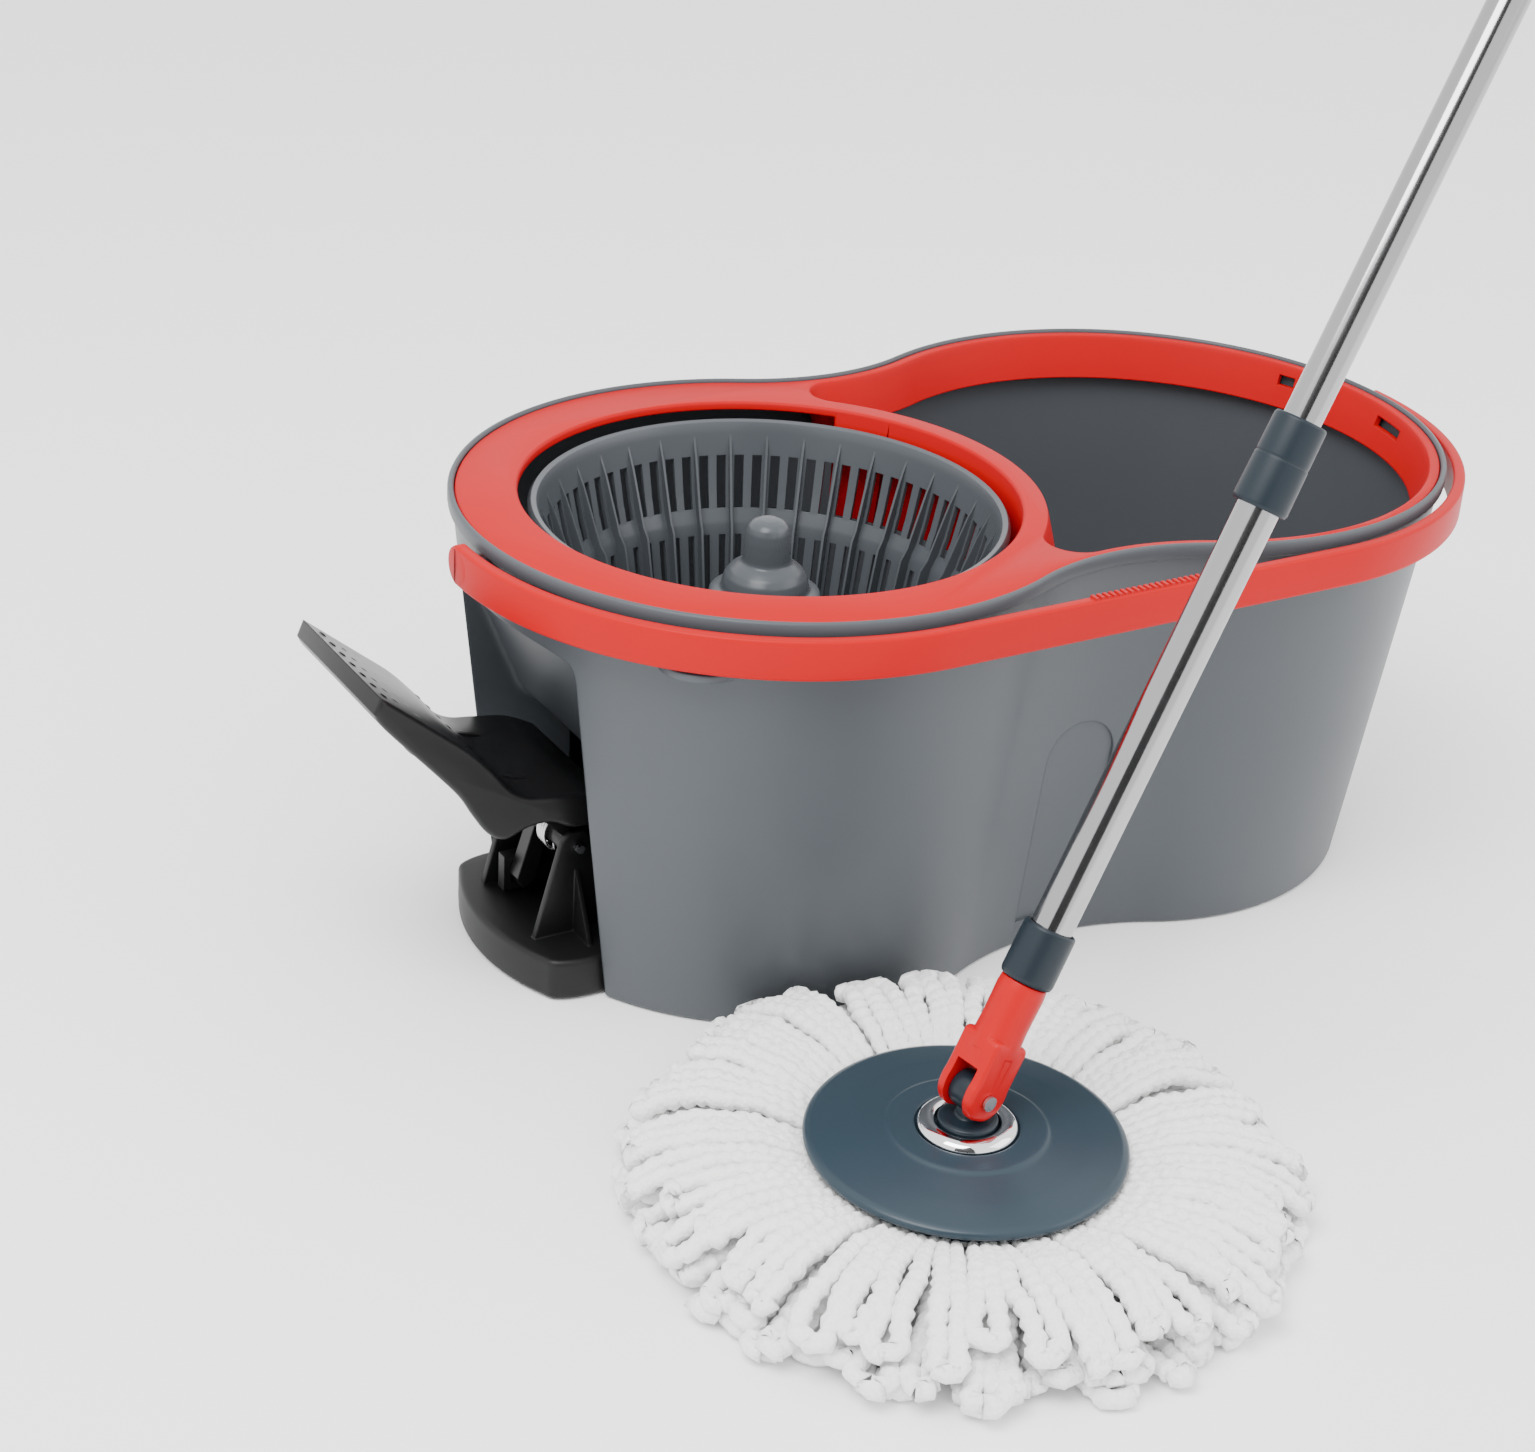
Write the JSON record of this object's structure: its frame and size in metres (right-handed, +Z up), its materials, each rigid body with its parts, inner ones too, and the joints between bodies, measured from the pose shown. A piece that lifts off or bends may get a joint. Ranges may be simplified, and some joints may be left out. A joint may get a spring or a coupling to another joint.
{
  "type": "spin mop set",
  "caption": "Two-lobed mop bucket with a foot-driven spin basket, swinging carry handle, and a round swivel mop on a telescopic pole.",
  "frame": {"origin": "on the floor under the middle of the bucket", "axes": "+Z up; +X along the bucket from the spin basket's side to the water side; -Y is the front, where the mop stands and the handle rests"},
  "size_m": [0.557, 0.5249, 0.6316],
  "materials": {
    "bucket_grey": "moulded polypropylene, fine satin",
    "guard_red": "moulded polypropylene, satin gloss",
    "handle_red": "moulded polypropylene, satin gloss",
    "base_black": "moulded, satin",
    "pedal_black": "moulded, dimpled tread",
    "pin_steel": "ground",
    "spring_steel": "drawn wire",
    "gear_acetal": "moulded black acetal",
    "step_gear_acetal": "moulded acetal",
    "axle_steel": "ground",
    "clutch_acetal": "moulded acetal",
    "lid_grey": "moulded",
    "spindle_steel": "ground",
    "bush_bronze": "sintered bronze",
    "seal_rubber": "moulded lip seal",
    "basket_grey": "moulded, satin gloss",
    "post_grey": "moulded, satin gloss",
    "refill_white": "moulded",
    "fringe_white": "chenille microfibre",
    "plate_slate": "moulded, satin gloss",
    "ring_chrome": "polished",
    "swivel_slate": "moulded",
    "yoke_red": "moulded, satin gloss",
    "yoke_pin_steel": "riveted",
    "tube_steel": "polished stainless",
    "collar_dark": "moulded",
    "lock_dark": "moulded",
    "upper_steel": "polished stainless",
    "plug_white": "moulded",
    "grip_dark": "ribbed",
    "cap_red": "moulded",
    "screw_zinc": "zinc plated"
  },
  "bodies": {
    "bucket": {"bucket": "bucket_grey", "splash_guard": "guard_red", "drive_base": "base_black", "gearbox_lid": "lid_grey", "gear_axle": "axle_steel", "shaft_bush": "bush_bronze", "pedal_pin": "pin_steel", "pedal_spring": "spring_steel", "lid_screw_1": "screw_zinc", "lid_screw_2": "screw_zinc", "lid_screw_3": "screw_zinc", "base_screw_1": "screw_zinc", "base_screw_2": "screw_zinc", "base_screw_3": "screw_zinc", "base_screw_4": "screw_zinc"},
    "carry_handle": {"carry_handle": "handle_red"},
    "foot_pedal": {"foot_pedal": "pedal_black"},
    "drive_rack": {"drive_rack": "gear_acetal"},
    "step_gear": {"step_gear": "step_gear_acetal"},
    "spin_basket": {"spin_basket": "basket_grey", "hub_post": "post_grey", "drive_spindle": "spindle_steel", "clutch_gear": "clutch_acetal", "shaft_seal": "seal_rubber"},
    "refill": {"refill_ring": "refill_white", "refill_fringe": "fringe_white"},
    "mop_plate": {"mop_plate": "plate_slate", "bearing_ring": "ring_chrome"},
    "swivel": {"swivel_post": "swivel_slate"},
    "lower_pole": {"yoke": "yoke_red", "yoke_pin": "yoke_pin_steel", "lower_tube": "tube_steel", "lower_collar": "collar_dark"},
    "lock_collar": {"lock_collar": "lock_dark"},
    "upper_pole": {"upper_tube": "upper_steel", "lock_plug": "plug_white", "hand_grip": "grip_dark", "hanger_cap": "cap_red"}
  },
  "joints": [
    {"name": "handle_swing", "type": "hinge", "parent": "bucket", "child": "carry_handle", "pos_m": [0, 0, 0.19], "axis": [-1, 0, 0], "range_deg": [0, 180]},
    {"name": "pedal_press", "type": "hinge", "parent": "bucket", "child": "foot_pedal", "pos_m": [-0.206, 0, 0.062], "axis": [0, -1, 0], "range_deg": [0, 34], "stiffness_Nm_per_rad": 0.9, "springref_deg": -28.65, "deforming": ["pedal_spring"]},
    {"name": "rack_travel", "type": "slide", "parent": "bucket", "child": "drive_rack", "axis": [1, 0, 0], "range_m": [0, 0.019]},
    {"name": "step_gear_spin", "type": "hinge", "parent": "bucket", "child": "step_gear", "pos_m": [-0.084, 0.024, 0], "axis": [0, 0, 1], "range_deg": [0, 135]},
    {"name": "basket_spin", "type": "hinge", "parent": "bucket", "child": "spin_basket", "pos_m": [-0.102, 0, 0], "axis": [0, 0, 1], "continuous": true},
    {"name": "mop_slide", "type": "slide", "parent": "bucket", "child": "refill", "axis": [0, -1, 0], "range_m": [0, 0.3]},
    {"name": "plate_release", "type": "slide", "parent": "refill", "child": "mop_plate", "axis": [0, 0, 1], "range_m": [0, 0.05]},
    {"name": "head_swivel", "type": "hinge", "parent": "mop_plate", "child": "swivel", "pos_m": [-0.145, -0.243, 0], "axis": [0, 0, 1], "continuous": true},
    {"name": "pole_tilt", "type": "hinge", "parent": "swivel", "child": "lower_pole", "pos_m": [-0.145, -0.243, 0.05], "axis": [-0.1392, 0.9903, 0], "range_deg": [-108, 50]},
    {"name": "lock_twist", "type": "hinge", "parent": "lower_pole", "child": "lock_collar", "pos_m": [-0.01803, -0.22515, 0.2842], "axis": [0.4755, 0.0668, 0.8771], "range_deg": [0, 60]},
    {"name": "pole_slide", "type": "slide", "parent": "lower_pole", "child": "upper_pole", "axis": [0.4755, 0.0668, 0.8771], "range_m": [-0.038, 0.09]}
  ],
  "couplings": [
    {"joint": "rack_travel", "follows": "pedal_press", "m_per_rad": 0.031533},
    {"joint": "step_gear_spin", "follows": "pedal_press", "ratio": 3.9416},
    {"joint": "basket_spin", "follows": "pedal_press", "ratio": -15.766}
  ]
}
